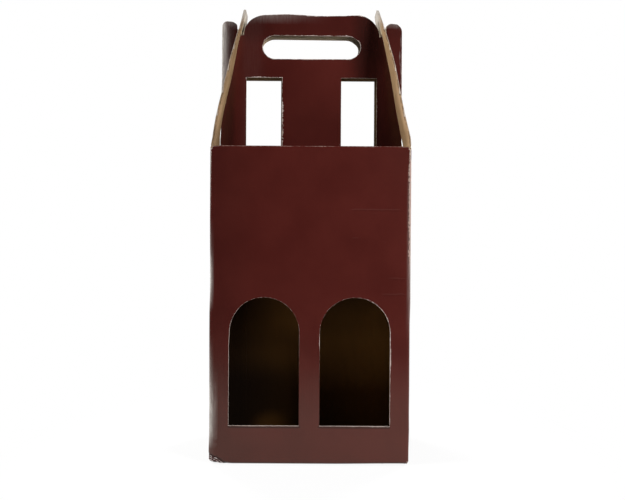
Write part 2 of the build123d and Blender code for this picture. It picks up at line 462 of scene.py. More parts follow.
def inside(x, y, z):
    """1 on the kraft inside the body, less between the leaves and on the gable flaps' inner
    faces: where the kraft is painted dark with shade.
    """
    if z < FOLD_TOP:
        return smooth(0.3, 1.5, min(HALF_WIDTH - abs(x), HALF_DEPTH - abs(y), FOLD_TOP - z))
    if abs(y) < LEAF_FACE:
        if z > GRIP_BOTTOM and abs(x) > WING_START:
            return 0.0
        return (0.6 if y < 3 else 0.3) + patch((x, y, z), *SLOT_END_DARK)
    return 0.23 + 0.27 * smooth(292, 264, z) if x < 0 else 0.04


def painted_inner_light(x, y, z):
    """How bright the painted light on the kraft inside the body is: little, more at the right,
    with a painted pool of light low in the left cell.
    """
    if z > FOLD_TOP:
        return 0.1
    low = 0.28 + 0.72 * smooth(-50, 50, x)
    level = low + (1 - low) * smooth(48, 80, z)
    level += (0.5 if x < 0 else -0.25) * smooth(85, 107, z) - 0.3 * smooth(108, 130, z)
    spot = smooth(24, 3, math.hypot(x + 36, 1.3 * (z - 7))) * smooth(-5, 20, y)
    return level * along(INSIDE_PAINTED_LIGHT, x) + 0.30 * spot


def wing_painted_sheen(x, z):
    """The painted sheen of the left wing, a pale painted reflection, stronger towards its outer
    edge.
    """
    part = max(-x - 71.0, 0.0) / 8.5
    sheen = (0.04 + 0.1 * part + 0.75 * part * part) * smooth(-67.5, -70.5, x)
    strip = 0.234 * (z - 368.9) - 64.1  # right of this line the wing is plain print
    sheen *= smooth(283, 305, z) * smooth(382, 375, z) * smooth(strip + 1.5, strip - 2, x)
    return sheen


def fold_painted_sheen(x, y, z):
    """The painted sheen along the rounded upright folds at the front: a painted highlight."""
    side = HALF_WIDTH - abs(x)
    wall = y + HALF_DEPTH
    if wall > ROUND_REACH or side > ROUND_REACH:
        return 0.0
    reach = 3.6 + 3.0 * smooth(100, 45, z)
    near = smooth(reach, -0.8, side) * smooth(5.0, 1.0, wall)
    if x < 0:
        return 0.75 * along(LEFT_ROUND, z) * near
    return patch((x, y, z), *RIGHT_FOLD_PAINTED_SHEEN) * near


def painted_sheen(x, y, z):
    """Painted sheen: a pale painted reflection on the left wing, the leaf's rim and the upright
    folds.
    """
    if y > 0:
        return 0.0
    if z <= FOLD_TOP:
        return fold_painted_sheen(x, y, z)
    if on_flap(x, y, z):
        return 0.0
    return max(wing_painted_sheen(x, z), strongest(LEAF_PAINTED_SHEEN, (x, y, z)))


def scuff(x, y, z):
    """Where the coat is rubbed dull and grey: at the outer edge of the right wing."""
    if z > 320 and x > 62 and y < 0:
        return 0.40 * smooth(75, 79, x)
    return 0.0


def shade(x, y, z):
    """Painted shade on the print: the front leaf's right part, wings and top, the wall's left
    part and top right, and a painted contact shadow along the bottom.
    """
    if z < FOLD_TOP and y < BOARD - HALF_DEPTH:
        return strongest(WALL_SHADE, (x, y, z))
    if y > 0 or z < FOLD_TOP + SLACK or on_flap(x, y, z):
        return 0.0
    high = smooth(325, 355, z)
    leaf = (0.42 + 0.55 * high) * smooth(33 - 9 * high, 45, x) * smooth(66, 61, x)
    return max(leaf, strongest(LEAF_SHADE, (x, y, z)))


def sheet_facts(bm):
    """Ply (0 at the print, 1 at the kraft) and sheet (1 on the sides) of each vertex."""
    ply = {}
    sheet = {}
    for vert in bm.verts:
        faces = [face for face in vert.link_faces if face.material_index != EDGE]
        kinds = {face.material_index for face in faces}
        ply[vert.index] = 1.0 if KRAFT in kinds else 0.0
        sheet[vert.index] = 1.0 if any(abs(face.normal.x) > SIDEWAYS for face in faces) else 0.0
        on_side = vert.co.x / MM < SKIN - HALF_WIDTH
        if on_side and abs(vert.co.y / MM - SEAM_EDGE) < ON_SEAM:
            ply[vert.index] = 1.0
    return ply, sheet


def refine_rims(bm, borders):
    """Divide faces whose corners all lie on rims, so that wear stays at the rims."""
    for _ in range(2):
        bm.verts.index_update()
        away = [borders.find(vert.co)[2] / MM for vert in bm.verts]
        wide = []
        for face in bm.faces:
            if face.material_index != EDGE:
                middle = borders.find(face.calc_center_median())[2] / MM
                corners = [away[vert.index] for vert in face.verts]
                if middle - sum(corners) / len(corners) > RIM_ERROR:
                    wide.append(face)
        bmesh.ops.poke(bm, faces=wide)


VALUES_BY_PLACE = {
    "rim_wear": rim_wear,
    "fold": fold_distance,
    "fold_wear": fold_wear,
    "scuff": scuff,
    "shade": shade,
    "inside": inside,
    "painted_inner_light": painted_inner_light,
    "painted_sheen": painted_sheen,
}


def measure(bm, borders):
    """A table of the named values of each vertex, in the order of the vertices."""
    ply, sheet = sheet_facts(bm)
    table = {name: [] for name in ("rim", *VALUES_BY_PLACE, "crush", "ply", "sheet")}
    for vert in bm.verts:
        x, y, z = vert.co / MM
        table["rim"].append(min(borders.find(vert.co)[2] / MM, FAR))
        for name, value_at in VALUES_BY_PLACE.items():
            table[name].append(value_at(x, y, z))
        table["crush"].append(min(crush_depth(x, y, z), FAR))
        table["ply"].append(ply[vert.index])
        table["sheet"].append(sheet[vert.index])
    return table


# Bends, dents and the crushed corner

BOW_START = 4.0  # how far from the folds the walls start to bow in
WALL_BOW = 0.35
SIDE_BOW = 0.5
CREASE_FADE = 4.0
LEAN_START = 60.0
LOOSE = FOLD_TOP + 2.0  # above this the leaves can wave
LEAF_WAVE = 0.35
LEAF_LEAN = (38, 0.045)  # from where the leaf leans back, and how far for each millimetre
WING_LEAN = (66, 0.04)
CRUSH_PUSH = (0.25, 0.5)
CRUMPLE_PUSH = (0.12, 0.24)

# Soft patches of small moves in millimetres
TOP_FOLD_RISE = (0.65, (Z, 246, 259), (Z, 272, 262), (Y, -24, -40), (X, 82, 72))
SILL_RISE = (1.1, (Z, 6, 30), (Z, 90, 36))
FOOT_RISE = (0.6, (X, 15, 75), (Z, 7, 1))
RIGHT_ARCH_SHIFT = (-0.5, (X, 1, 7), (X, 79, 70), (Z, 10, 28), (Z, 139, 128))
LEFT_SHOULDER_SHIFT = (0.5, (X, -76, -68), (X, -50, -58), (Z, 96, 108), (Z, 132, 124))
NECK_TOP_SAG = (1.3, (X, 63, 58), (X, 19, 24), (Z, 314, 326), (Z, 342, 330))
NECK_RIM_SHIFTS = [
    (1.0, (X, 15, 24), (X, 38, 27)),
    (-0.7, (X, -15, -25), (X, -40, -28)),
    (0.5, (X, -64, -59), (X, -44, -55)),
    (-0.3, (X, 64, 59), (X, 44, 55)),
]
SLOT_TOP_SAG = (1.0, (X, 47, 38), (Z, 352, 363), (Z, 378, 366))
CRUSH_LIFT = (1.4, (X, -70.5, -HALF_WIDTH), (Y, -28, -HALF_DEPTH), (Z, 8, 0))


def panel(value, low, high):
    """1 in the middle of a panel, 0 at its two ends."""
    part = min(max((value - low) / (high - low), 0.0), 1.0)
    return math.sin(math.pi * part) ** 0.7


def wall_move(x, y, z):
    """The walls of the body bow in a little, never out."""
    rise = panel(z, 6, FOLD_TOP - BOW_START)
    move = Vector((0, 0, 0))
    if abs(y) > HALF_DEPTH - BOW_START:
        across = panel(x, BOW_START - HALF_WIDTH, HALF_WIDTH - BOW_START)
        depth = WALL_BOW + 0.3 * grain(x, 0, z, 70, 3.1) + 0.12 * grain(x, 0, z, 24, 7.7)
        move.y -= math.copysign(depth * rise * across, y)
    if abs(x) > HALF_WIDTH - BOW_START:
        across = panel(y, BOW_START - HALF_DEPTH, HALF_DEPTH - BOW_START)
        depth = SIDE_BOW + 0.3 * grain(0, y, z, 60, 1.3)
        move.x -= math.copysign(depth * rise * across, x)
    return move


def crease_move(x, y, z):
    """The horizontal creases dent the front wall."""
    if y > BOARD + SLACK - HALF_DEPTH:
        return Vector((0, 0, 0))
    depth = 0.0
    for height, left, right, deepest in CREASES:
        across = smooth(left, left + CREASE_FADE, x) * smooth(right, right - CREASE_FADE, x)
        depth += deepest * across * smooth(CREASE_HALF, CREASE_HALF / 3, abs(z - height))
    return Vector((0, depth, 0))


def low_move(x, y, z):
    """The right side leans in a little low down; the sills and the top fold sit higher.

    The right arched window sits further left, the left one's left shoulder further right.
    """
    shift = -along(LOW_LEAN, z) * max((x - LEAN_START) / (HALF_WIDTH - LEAN_START), 0.0)
    if z >= OVER_ARCHES or y >= BOARD + SLACK - HALF_DEPTH:
        return Vector((shift, 0, patch((abs(x), y, z), *TOP_FOLD_RISE)))
    point = (x, y, z)
    shift += patch(point, *RIGHT_ARCH_SHIFT) + patch(point, *LEFT_SHOULDER_SHIFT)
    return Vector((shift, 0, patch(point, *SILL_RISE) + patch(point, *FOOT_RISE)))


def round_move(x, y, z):
    """The upright folds at the front are rounded by use."""
    side = HALF_WIDTH - abs(x)
    wall = y + HALF_DEPTH
    if z > FOLD_TOP or side > ROUND_REACH or wall > ROUND_REACH:
        return Vector((0, 0, 0))
    amount = min(along(LEFT_ROUND if x < 0 else RIGHT_ROUND, z), 1.0)
    near = (1 - side / ROUND_REACH) ** 2 * (1 - wall / ROUND_REACH) ** 2
    push = ROUND_DEPTH * amount * near
    return Vector((-math.copysign(ROUND_ASIDE * push, x), push, 0))


def crumple(x, y, z):
    """The small folds of the crushed corner, from -1 on a ridge to 1 in a valley."""
    across = crush_depth(x, y, z)
    return smooth(1.0, -0.1, across) * math.cos(2 * math.pi * (across + 0.1) / CRUMPLE_PITCH)


def crush_move(x, y, z):
    """The bottom front left corner is lifted, pushed in and crumpled."""
    if z > CRUSH_REACH or math.dist((x, y), CRUSH_CORNER[:2]) > CRUSH_REACH:
        return Vector((0, 0, 0))
    amount = smooth(1.6, -0.1, crush_depth(x, y, z))
    fold = crumple(x, y, z)
    inward = [push * amount + bump * fold for push, bump in zip(CRUSH_PUSH, CRUMPLE_PUSH)]
    return Vector((*inward, patch((x, y, z), *CRUSH_LIFT)))


def curl_move(x):
    """The left wing's curl, inward and back: its slope grows with the reach to the 1.5."""
    reach = min(max((-x - CURL_START) / CURL_WIDTH, 0.0), CURL_MOST)
    inward = CURL_WIDTH * CURL_ANGLE ** 2 / 2 * reach ** 4 / 4
    back = CURL_WIDTH * CURL_ANGLE * reach ** 2.5 / 2.5
    return Vector((inward, back, 0))


def gable_move(x, y, z):
    """The gable flaps bend in near their folds, each in its own way; the left one is warped."""
    if z < FOLD_TOP or abs(x) < WING_START - 1:
        return Vector((0, 0, 0))
    if x > 0:
        return Vector((-along(GABLE_RIGHT, z), 0, 0))
    warp = along(LEFT_WARP, z) * smooth(-24, -4, y)
    return Vector((along(GABLE_LEFT, z) - warp, 0, 0))


def crown_move(x, z):
    """The upper rim of the front leaf and its wings hangs a little, unevenly."""
    start = 366 - 18 * smooth(43, 49, abs(x))
    return Vector((0, 0, -along(CROWN_DROP, x) * smooth(start, start + 14, z)))


def slot_sag(x, z):
    """How far the top edge of the hand slot hangs down, more at the right."""
    most = 1.7 + 0.3 * x / 35.0
    return most * patch((abs(x), 0, z), *SLOT_TOP_SAG)


def window_move(x, z):
    """The neck windows' tops hang a little, and the strip between them is a little wide."""
    shift = sum(patch((x, 0, z), *zone) for zone in NECK_RIM_SHIFTS)
    shift *= smooth(258, 264, z) * smooth(334, 328, z)
    return Vector((shift, 0, -patch((abs(x), 0, z), *NECK_TOP_SAG)))


def handle_move(x, y, z):
    """The leaves wave a little; the front leaf's right part and left wing bend back."""
    if z < LOOSE:
        return Vector((0, 0, 0))
    free = smooth(LOOSE, LOOSE + 24, z)
    wave = LEAF_WAVE * (1 + grain(x, 0, z, 45, 5.0 if y < 0 else 9.0)) * free
    move = Vector((0, -math.copysign(wave * 0.5, y), -slot_sag(x, z)))
    move += window_move(x, z)
    if y < 0:
        move.y += LEAF_LEAN[1] * max(x - LEAF_LEAN[0], 0.0) * smooth(64, 58, x) * free
        move += curl_move(x) * smooth(300, 330, z)
        move += crown_move(x, z)
        move.y += WING_LEAN[1] * max(x - WING_LEAN[0], 0.0) * smooth(320, 340, z)
    return move


def place(point):
    """Where a point of the flat-panelled sheet lies on the used box, within the CAD's box."""
    x, y, z = point / MM
    move = wall_move(x, y, z) if z < FOLD_TOP else Vector((0, 0, 0))
    move += crease_move(x, y, z)
    move += low_move(x, y, z)
    move += round_move(x, y, z)
    move += crush_move(x, y, z)
    move += gable_move(x, y, z) if on_flap(x, y, z) else handle_move(x, y, z)
    low, high = cad_limits
    return Vector(
        min(max(value + shift * MM, least), most)
        for value, shift, least, most in zip(point, move, low, high)
    )


def sharpen_rims(mesh):
    """Make every rim sharp, also beside faces too thin to have an angle of their own."""
    kinds = {}
    for face in mesh.polygons:
        for index in face.loop_indices:
            kinds.setdefault(mesh.loops[index].edge_index, set()).add(face.material_index)
    for index, found in kinds.items():
        if len(found) > 1:
            mesh.edges[index].use_edge_sharp = True


def cut_sheet(cad):
    """The CAD sheet, sorted into its kinds of face and cut into a grid, with its rims."""
    bm = bmesh.new()
    bm.from_mesh(cad.data)
    bmesh.ops.remove_doubles(bm, verts=bm.verts, dist=WELD)
    bm.normal_update()
    sort_faces(bm)
    bmesh.ops.dissolve_limit(
        bm, angle_limit=FLAT_ANGLE, verts=bm.verts, edges=bm.edges, delimit={"MATERIAL"},
    )
    cut_seam(bm)
    borders = border_points(bm)
    cut_creases(bm)
    cut_grid(bm)
    cut_corner(bm)
    bmesh.ops.triangulate(bm, faces=bm.faces)
    refine_rims(bm, borders)
    bm.verts.index_update()
    bm.normal_update()
    return bm, borders


def build_carton(cad):
    """The folded board: the CAD sheet with its wear values and painted light and shade values,
    bends and dents.
    """
    bm, borders = cut_sheet(cad)
    table = measure(bm, borders)
    for vert in bm.verts:
        vert.co = place(vert.co)
    mesh = bpy.data.meshes.new("folded_carton")
    bm.to_mesh(mesh)
    bm.free()
    for name, values in table.items():
        mesh.attributes.new(name, "FLOAT", "POINT").data.foreach_set("value", values)
    mesh.shade_smooth()
    mesh.set_sharp_from_angle(angle=SHARP_ANGLE)
    sharpen_rims(mesh)
    piece = bpy.data.objects.new("folded_carton", mesh)
    bpy.context.scene.collection.objects.link(piece)
    return piece


# Materials

MM_PER_METRE = 1000.0

# Noises: size of their waves in millimetres, detail and roughness
BLOTCHES = (38.0, 3.0)
FINE_GRAIN = (0.7, 3.0, 0.6)
PRINT_FIBRES = (1.3, 3.0, 0.6)
FRAYS = (1.9, 3.0, 0.65)
CLOUDS = (17.0, 3.0)
KRAFT_HAIRS = (0.9, 4.0, 0.65)
FLECKS = (1.1, 2.0)
CRUSHED_FIBRES = (2.2, 2.0, 0.6)
CRUSHED_FLUTES = (3.5, 2.0)
RAGGED_EDGE = (0.6, 3.0, 0.6)
RAGGED_CREASE = (5.0, 2.0)

# How fibres are stretched upwards
PRINT_STRETCH = (1.0, 1.0, 0.12)
KRAFT_STRETCH = (1.0, 1.0, 0.18)

FLUTE_TURN = 2 * math.pi / 2.3  # the flutes are 2.3 mm apart
CRUMPLE_TURN = 2 * math.pi / CRUMPLE_PITCH

# The creases' painted highlight and painted shade lines: shift and half width; their soft ends,
# core and tone
CREASE_LIGHT = (0.25, 0.55)
CREASE_DARK = (-0.9, 0.9)
CREASE_END = 5.0
CREASE_CORE = 0.3
CREASE_TONE = 4.0

# Where the cut edge changes: from its two liners to the medium between them
OUTER_LINER = (0.13, 0.19)
INNER_LINER = (0.81, 0.87)
MEDIUM_WAVE = 0.32

# Colours, linear
INK = (0.055, 0.0082, 0.0062)
INK_DEEP = (0.046, 0.0065, 0.0050)
# the colour of painted shade on the print
INK_SHADED = (0.019, 0.0034, 0.0026)
# pale pink: bare board at worn folds, and the creases' painted highlight
PINK_EDGE = (0.22, 0.13, 0.115)
# painted sheen, a pale painted reflection
PAINTED_SHEEN_GREY = (0.36, 0.34, 0.315)
FOLD_BARE = (0.26, 0.195, 0.165)
WHITE_FIBRE = (0.48, 0.42, 0.40)
KRAFT_FIBRE = (0.36, 0.28, 0.24)
RIM_GREY = (0.35, 0.295, 0.275)
# painted light at the gable flaps' tips, on the cut edge and on the kraft
TIP_GREY = (0.34, 0.31, 0.275)
TIP_KRAFT = (0.50, 0.41, 0.29)
SCUFF_GREY = (0.27, 0.245, 0.235)
CRUSHED_RED = (0.075, 0.018, 0.020)
# painted shade in the crushed corner's creases
CRUSHED_DARK = (0.014, 0.0008, 0.0012)
KRAFT_LIGHT = (0.262, 0.168, 0.088)
KRAFT_DARK = (0.200, 0.125, 0.062)
# painted shade and light on the kraft inside the box, darkest to lightest
KRAFT_DEEP = (0.002, 0.0006, 0.0001)
KRAFT_SHADED = (0.18, 0.078, 0.017)
# pale kraft: worn kraft rims, and the painted light at the flap tips
KRAFT_PALE = (0.27, 0.245, 0.215)
KRAFT_FLECK = (0.12, 0.07, 0.035)
LINER_GREY = (0.36, 0.30, 0.25)
FLUTE_BROWN = (0.27, 0.175, 0.10)
FLUTE_HOLLOW = (0.14, 0.09, 0.052)
WARM_COAT = (1.0, 0.93, 0.78)


class Shader:
    """The nodes of a new material or world; most methods return an output socket."""

    def __init__(self, owner):
        owner.use_nodes = True
        self.owner = owner
        self.tree = owner.node_tree
        self.tree.nodes.clear()

    def node(self, kind, **settings):
        """A new node with these settings."""
        made = self.tree.nodes.new(kind)
        for key, value in settings.items():
            setattr(made, key, value)
        return made

    def feed(self, socket, value):
        """Link an output socket to an input socket, or set the input to a constant."""
        if isinstance(value, bpy.types.NodeSocket):
            self.tree.links.new(value, socket)
        else:
            socket.default_value = value

    def fill(self, made, inputs):
        """Feed the inputs of a node, by name or number; returns its first output."""
        for key, value in inputs.items():
            self.feed(made.inputs[key], value)
        return made.outputs[0]

    def math(self, operation, *values, clamp=False):
        """A math node on values that are sockets or numbers."""
        made = self.node("ShaderNodeMath", operation=operation, use_clamp=clamp)
        return self.fill(made, dict(enumerate(values)))

    def plus(self, first, second):
        return self.math("ADD", first, second)

    def minus(self, first, second):
        return self.math("SUBTRACT", first, second)

    def rest(self, value):
        """What a value leaves of 1."""
        return self.math("SUBTRACT", 1.0, value)

    def times(self, first, second, clamp=False):
        return self.math("MULTIPLY", first, second, clamp=clamp)

    def scale(self, value, factor, start=0.0):
        """A value times a factor, on top of a start."""
        return self.math("MULTIPLY_ADD", value, factor, start)

    def greater(self, first, second):
        return self.math("MAXIMUM", first, second)

    def size_of(self, value):
        """A value without its sign."""
        return self.math("ABSOLUTE", value)

    def step(self, value, low, high):
        """0 below low, 1 above high, smooth between."""
        made = self.node("ShaderNodeMapRange", interpolation_type="SMOOTHSTEP")
        return self.fill(made, {0: value, 1: low, 2: high, 3: 0.0, 4: 1.0})

    def band(self, value, rise, fall):
        """1 between two soft limits, each a pair of values."""
        return self.minus(self.step(value, *rise), self.step(value, *fall))

    def mix(self, factor, first, second):
        """The first colour, or the second one where the factor is 1."""
        made = self.node("ShaderNodeMix", data_type="RGBA")
        first, second = (
            (*color, 1.0) if isinstance(color, tuple) else color for color in (first, second))
        self.fill(made, {0: factor, 6: first, 7: second})
        return made.outputs[2]

    def cover(self, color, amount, strength, top, clamp=False):
        """A colour with another one laid over it, by an amount times a strength."""
        return self.mix(self.times(amount, strength, clamp), color, top)

    def blend(self, factor, first, second):
        """The first value, or the second one where the factor is 1."""
        made = self.node("ShaderNodeMix", data_type="FLOAT")
        return self.fill(made, {0: factor, 2: first, 3: second})

    def value(self, name):
        """One of the values that the mesh carries for each of its points."""
        return self.node("ShaderNodeAttribute", attribute_name=name).outputs["Fac"]

    def place(self, stretch=(1.0, 1.0, 1.0)):
        """Object coordinates in millimetres, stretched."""
        coords = self.node("ShaderNodeTexCoord").outputs["Object"]
        made = self.node("ShaderNodeVectorMath", operation="MULTIPLY")
        return self.fill(made, {0: coords, 1: [MM_PER_METRE * part for part in stretch]})

    def split(self, vector):
        """The x, y and z of a vector."""
        made = self.node("ShaderNodeSeparateXYZ")
        self.feed(made.inputs[0], vector)
        return made.outputs

    def noise(self, vector, size, detail, rough=0.5):
        """Noise from 0 to 1 with waves of about this size in millimetres."""
        settings = {"Vector": vector, "Scale": 1.0 / size, "Detail": detail, "Roughness": rough}
        return self.fill(self.node("ShaderNodeTexNoise"), settings)

    def relief(self, first, *others):
        """Layers of relief, each a value and its height in millimetres, added up."""
        total = self.times(*first)
        for layer in others:
            total = self.plus(total, self.times(*layer))
        return total

    def finish(self, color, roughness, height, specular, tint=(1.0, 1.0, 1.0)):
        """Principled surface; height is in millimetres."""
        bump = self.node("ShaderNodeBump")
        surface = self.node("ShaderNodeBsdfPrincipled")
        self.fill(surface, {
            "Base Color": color,
            "Roughness": roughness,
            "Normal": self.fill(bump, {"Strength": 1.0, "Distance": MM, "Height": height}),
            "Specular IOR Level": specular,
            "Specular Tint": (*tint, 1.0),
        })
        return self.close("ShaderNodeOutputMaterial", surface)

    def close(self, kind, last):
        """Link the last node to a new output node; returns the material or world."""
        self.feed(self.node(kind).inputs["Surface"], last.outputs[0])
        return self.owner


def new_material(name):
    """The nodes of a new material of this name."""
    return Shader(bpy.data.materials.new(name))


def flute_wave(shader, place):
    """The wave of the flutes along a place, from -1 to 1."""
    return shader.math("SINE", shader.times(place, FLUTE_TURN))


def flute_lines(shader):
    """The flutes' faint relief on a liner, 0 to 1, running up every panel."""
    x, y = shader.split(shader.place())[:2]
    across = shader.split(shader.node("ShaderNodeTexCoord").outputs["Normal"])[0]
    on_side = shader.step(shader.size_of(across), 0.55, 0.75)
    return shader.scale(flute_wave(shader, shader.blend(on_side, x, y)), 0.5, 0.5)


def worn(shader, distance, reach, fray, beyond=0.0):
    """1 within reach of an edge or ridge, with a frayed limit."""
    frayed = shader.scale(reach, fray, beyond)
    return shader.step(shader.minus(frayed, distance), -0.12, 0.12)


def crush_lines(shader):
    """The crushed corner: its zone, its crease lines darkened with painted shade, and the pale
    fibres between.
    """
    across = shader.value("crush")
    zone = shader.rest(shader.step(across, 0.0, 0.4))
    past_fold = shader.plus(across, 0.35)
    fold = shader.rest(shader.step(shader.size_of(past_fold), 0.4, 0.75))
    wave = shader.math("COSINE", shader.times(past_fold, CRUMPLE_TURN))
    broken = shader.noise(shader.place(), *CRUSHED_FIBRES)
    dark = shader.step(shader.scale(broken, -1.0, wave), -0.35, 0.1)
    dark = shader.greater(fold, shader.times(dark, zone))
    fleck = shader.step(broken, 0.42, 0.52)
    pale = shader.times(fleck, shader.rest(shader.step(wave, -0.4, 0.35)))
    pale = shader.times(pale, shader.rest(shader.step(across, -1.0, -0.7)))
    return zone, dark, shader.times(pale, zone)


def crease_lines(shader):
    """Painted highlight and painted shade lines along the creases of the front wall."""
    x, y, z = shader.split(shader.place())
    ragged = shader.noise(shader.place(), *RAGGED_CREASE)
    height = shader.plus(z, shader.scale(ragged, 1.2, -0.6))
    totals = [0.0, 0.0]
    for level, left, right, depth in CREASES:
        starts = shader.step(x, left, left + CREASE_END)
        ends = shader.rest(shader.step(x, right - CREASE_END, right))
        across = shader.times(starts, ends)
        for index, (shift, half) in enumerate((CREASE_LIGHT, CREASE_DARK)):
            away = shader.size_of(shader.minus(height, level + shift))
            line = shader.times(shader.rest(shader.step(away, half * CREASE_CORE, half)), across)
            line = shader.times(line, depth * CREASE_TONE)
            totals[index] = shader.plus(totals[index], line)
    front = shader.math("LESS_THAN", y, NEAR_FOLD - HALF_DEPTH)
    light, dark = totals
    return shader.times(light, front), shader.times(dark, front)


def sill_painted_shade(shader):
    """A painted line of shade just under each arched window's sill."""
    height = shader.split(shader.place())[2]
    line = shader.band(shader.value("rim"), (0.1, 0.5), (1.3, 2.1))
    return shader.times(line, shader.band(height, (20.0, 24.0), (30.6, 31.4)), clamp=True)


def ink(shader, blotch, fine):
    """The print's colour: blotched, darker in places with painted shade, and marked by the
    creases' painted highlight and shade.
    """
    color = shader.mix(shader.step(blotch, 0.3, 0.7), INK_DEEP, INK)
    color = shader.cover(color, shader.step(fine, 0.55, 0.8), 0.22, INK_DEEP)
    # Painted shade where the shade value says
    color = shader.cover(color, shader.value("shade"), 0.93, INK_SHADED)
    # Painted highlight and shade at the creases
    light, dark = crease_lines(shader)
    color = shader.cover(color, dark, 0.7, INK_SHADED, clamp=True)
    return shader.cover(color, light, 0.2, PINK_EDGE, clamp=True)


def bare_rims(shader, color, fine, fibre):
    """The colour with bare board at worn rims and folds, a painted shadow beside the worn folds
    and painted shade under the sills, and where it is bare.
    """
    fray = shader.scale(shader.noise(shader.place(), *FRAYS), 5.0, -1.5)
    reach = shader.value("fold_wear")
    at_rim = worn(shader, shader.value("rim"), shader.value("rim_wear"), fray)
    at_fold = worn(shader, shader.value("fold"), reach, fray)
    # A painted shadow line just inside the worn print at the folds, as if under a curled lip
    lip = worn(shader, shader.value("fold"), reach, fray, 0.45)
    lip = shader.times(lip, shader.step(reach, 0.2, 0.7))
    color = shader.cover(color, lip, 0.75, INK_SHADED)
    # Painted shade under the sills
    color = shader.cover(color, sill_painted_shade(shader), 0.85, INK_SHADED)
    bare_fold = shader.mix(shader.step(fine, 0.35, 0.65), PINK_EDGE, FOLD_BARE)
    color = shader.cover(color, at_fold, 0.85, bare_fold)
    bare = shader.mix(shader.step(fibre, 0.4, 0.65), KRAFT_FIBRE, WHITE_FIBRE)
    color = shader.cover(color, at_rim, 0.8, bare)
    return color, shader.greater(at_rim, at_fold)


def crushed_corner(shader, color):
    """The colour with the crushed corner's creases in painted shade and its fibres, and where it
    is crushed.
    """
    crushed, crease, pale = crush_lines(shader)
    color = shader.cover(color, crushed, 0.8, CRUSHED_RED)
    # Painted shade in the crushed corner's creases
    color = shader.mix(crease, color, CRUSHED_DARK)
    return shader.mix(pale, color, WHITE_FIBRE), crushed


def print_material():
    """Burgundy offset print with a light gloss, worn at rims and folds."""
    shader = new_material("burgundy_print")
    place = shader.place()
    blotch = shader.noise(place, *BLOTCHES)
    fine = shader.noise(place, *FINE_GRAIN)
    fibre = shader.noise(shader.place(PRINT_STRETCH), *PRINT_FIBRES)
    color = ink(shader, blotch, fine)
    rubbed = shader.plus(shader.value("scuff"), shader.scale(fibre, 0.9, -0.45))
    rubbed = shader.step(rubbed, 0.3, 0.75)
    color = shader.cover(color, rubbed, 0.85, SCUFF_GREY)
    # Painted sheen: a pale painted reflection over the print, streaked by the fibres
    sheen = shader.scale(fibre, 2.0)
    color = shader.cover(color, shader.value("painted_sheen"), sheen, PAINTED_SHEEN_GREY, clamp=True)
    color, bare = bare_rims(shader, color, fine, fibre)
    color, crushed = crushed_corner(shader, color)
    torn = shader.greater(bare, crushed)
    rough = shader.blend(shader.greater(torn, rubbed), shader.scale(blotch, 0.06, 0.22), 0.75)
    height = shader.relief(
        (flute_lines(shader), 0.012), (fine, 0.008), (torn, -0.05), (rubbed, 0.03))
    return shader.finish(color, rough, height, 0.38, WARM_COAT)


def shaded_kraft(shader):
    """The kraft's painted shade colour inside the box, lighter where its painted light is."""
    return shader.mix(shader.value("painted_inner_light"), KRAFT_DEEP, KRAFT_SHADED)


def kraft_material():
    """Bare brown kraft liner: mottled, with fibres and dark flecks."""
    shader = new_material("bare_kraft")
    place = shader.place()
    y, level = shader.split(place)[1:]
    cloud = shader.noise(place, *CLOUDS)
    fibre = shader.noise(shader.place(KRAFT_STRETCH), *KRAFT_HAIRS)
    fleck = shader.noise(place, *FLECKS)
    color = shader.mix(shader.step(cloud, 0.3, 0.7), KRAFT_DARK, KRAFT_LIGHT)
    color = shader.cover(color, shader.step(fibre, 0.35, 0.7), 0.4, KRAFT_DARK)
    color = shader.cover(color, shader.step(fleck, 0.68, 0.78), 0.5, KRAFT_FLECK)
    fray = shader.scale(fleck, 2.0, -0.2)
    at_rim = worn(shader, shader.value("rim"), shader.value("rim_wear"), fray)
    color = shader.cover(color, at_rim, 0.4, KRAFT_PALE)
    # Painted light on the flap tips: the rear part, in the leaf's shadow, is painted lighter,
    # and the tips pale towards the top
    rear = shader.times(shader.step(y, -9.0, -4.0), shader.step(level, 350.0, 356.0))
    color = shader.mix(rear, color, TIP_KRAFT)
    tip = shader.plus(level, shader.times(cloud, 8.0))
    color = shader.mix(shader.step(tip, 368.0, 388.0), color, KRAFT_PALE)
    # Painted shade and light on the kraft inside the box
    color = shader.mix(shader.value("inside"), color, shaded_kraft(shader))
    height = shader.relief((flute_lines(shader), 0.02), (fibre, 0.03))
    return shader.finish(color, 0.86, height, 0.08)


def edge_plies(shader, x, y):
    """Where the cut edge shows its outer liner, its inner liner and the waved medium."""
    ply = shader.value("ply")
    run = shader.blend(shader.step(shader.value("sheet"), 0.4, 0.6), x, y)
    line = shader.scale(flute_wave(shader, run), MEDIUM_WAVE, 0.5)
    medium = shader.rest(shader.step(shader.size_of(shader.minus(ply, line)), 0.05, 0.13))
    return shader.rest(shader.step(ply, *OUTER_LINER)), shader.step(ply, *INNER_LINER), medium


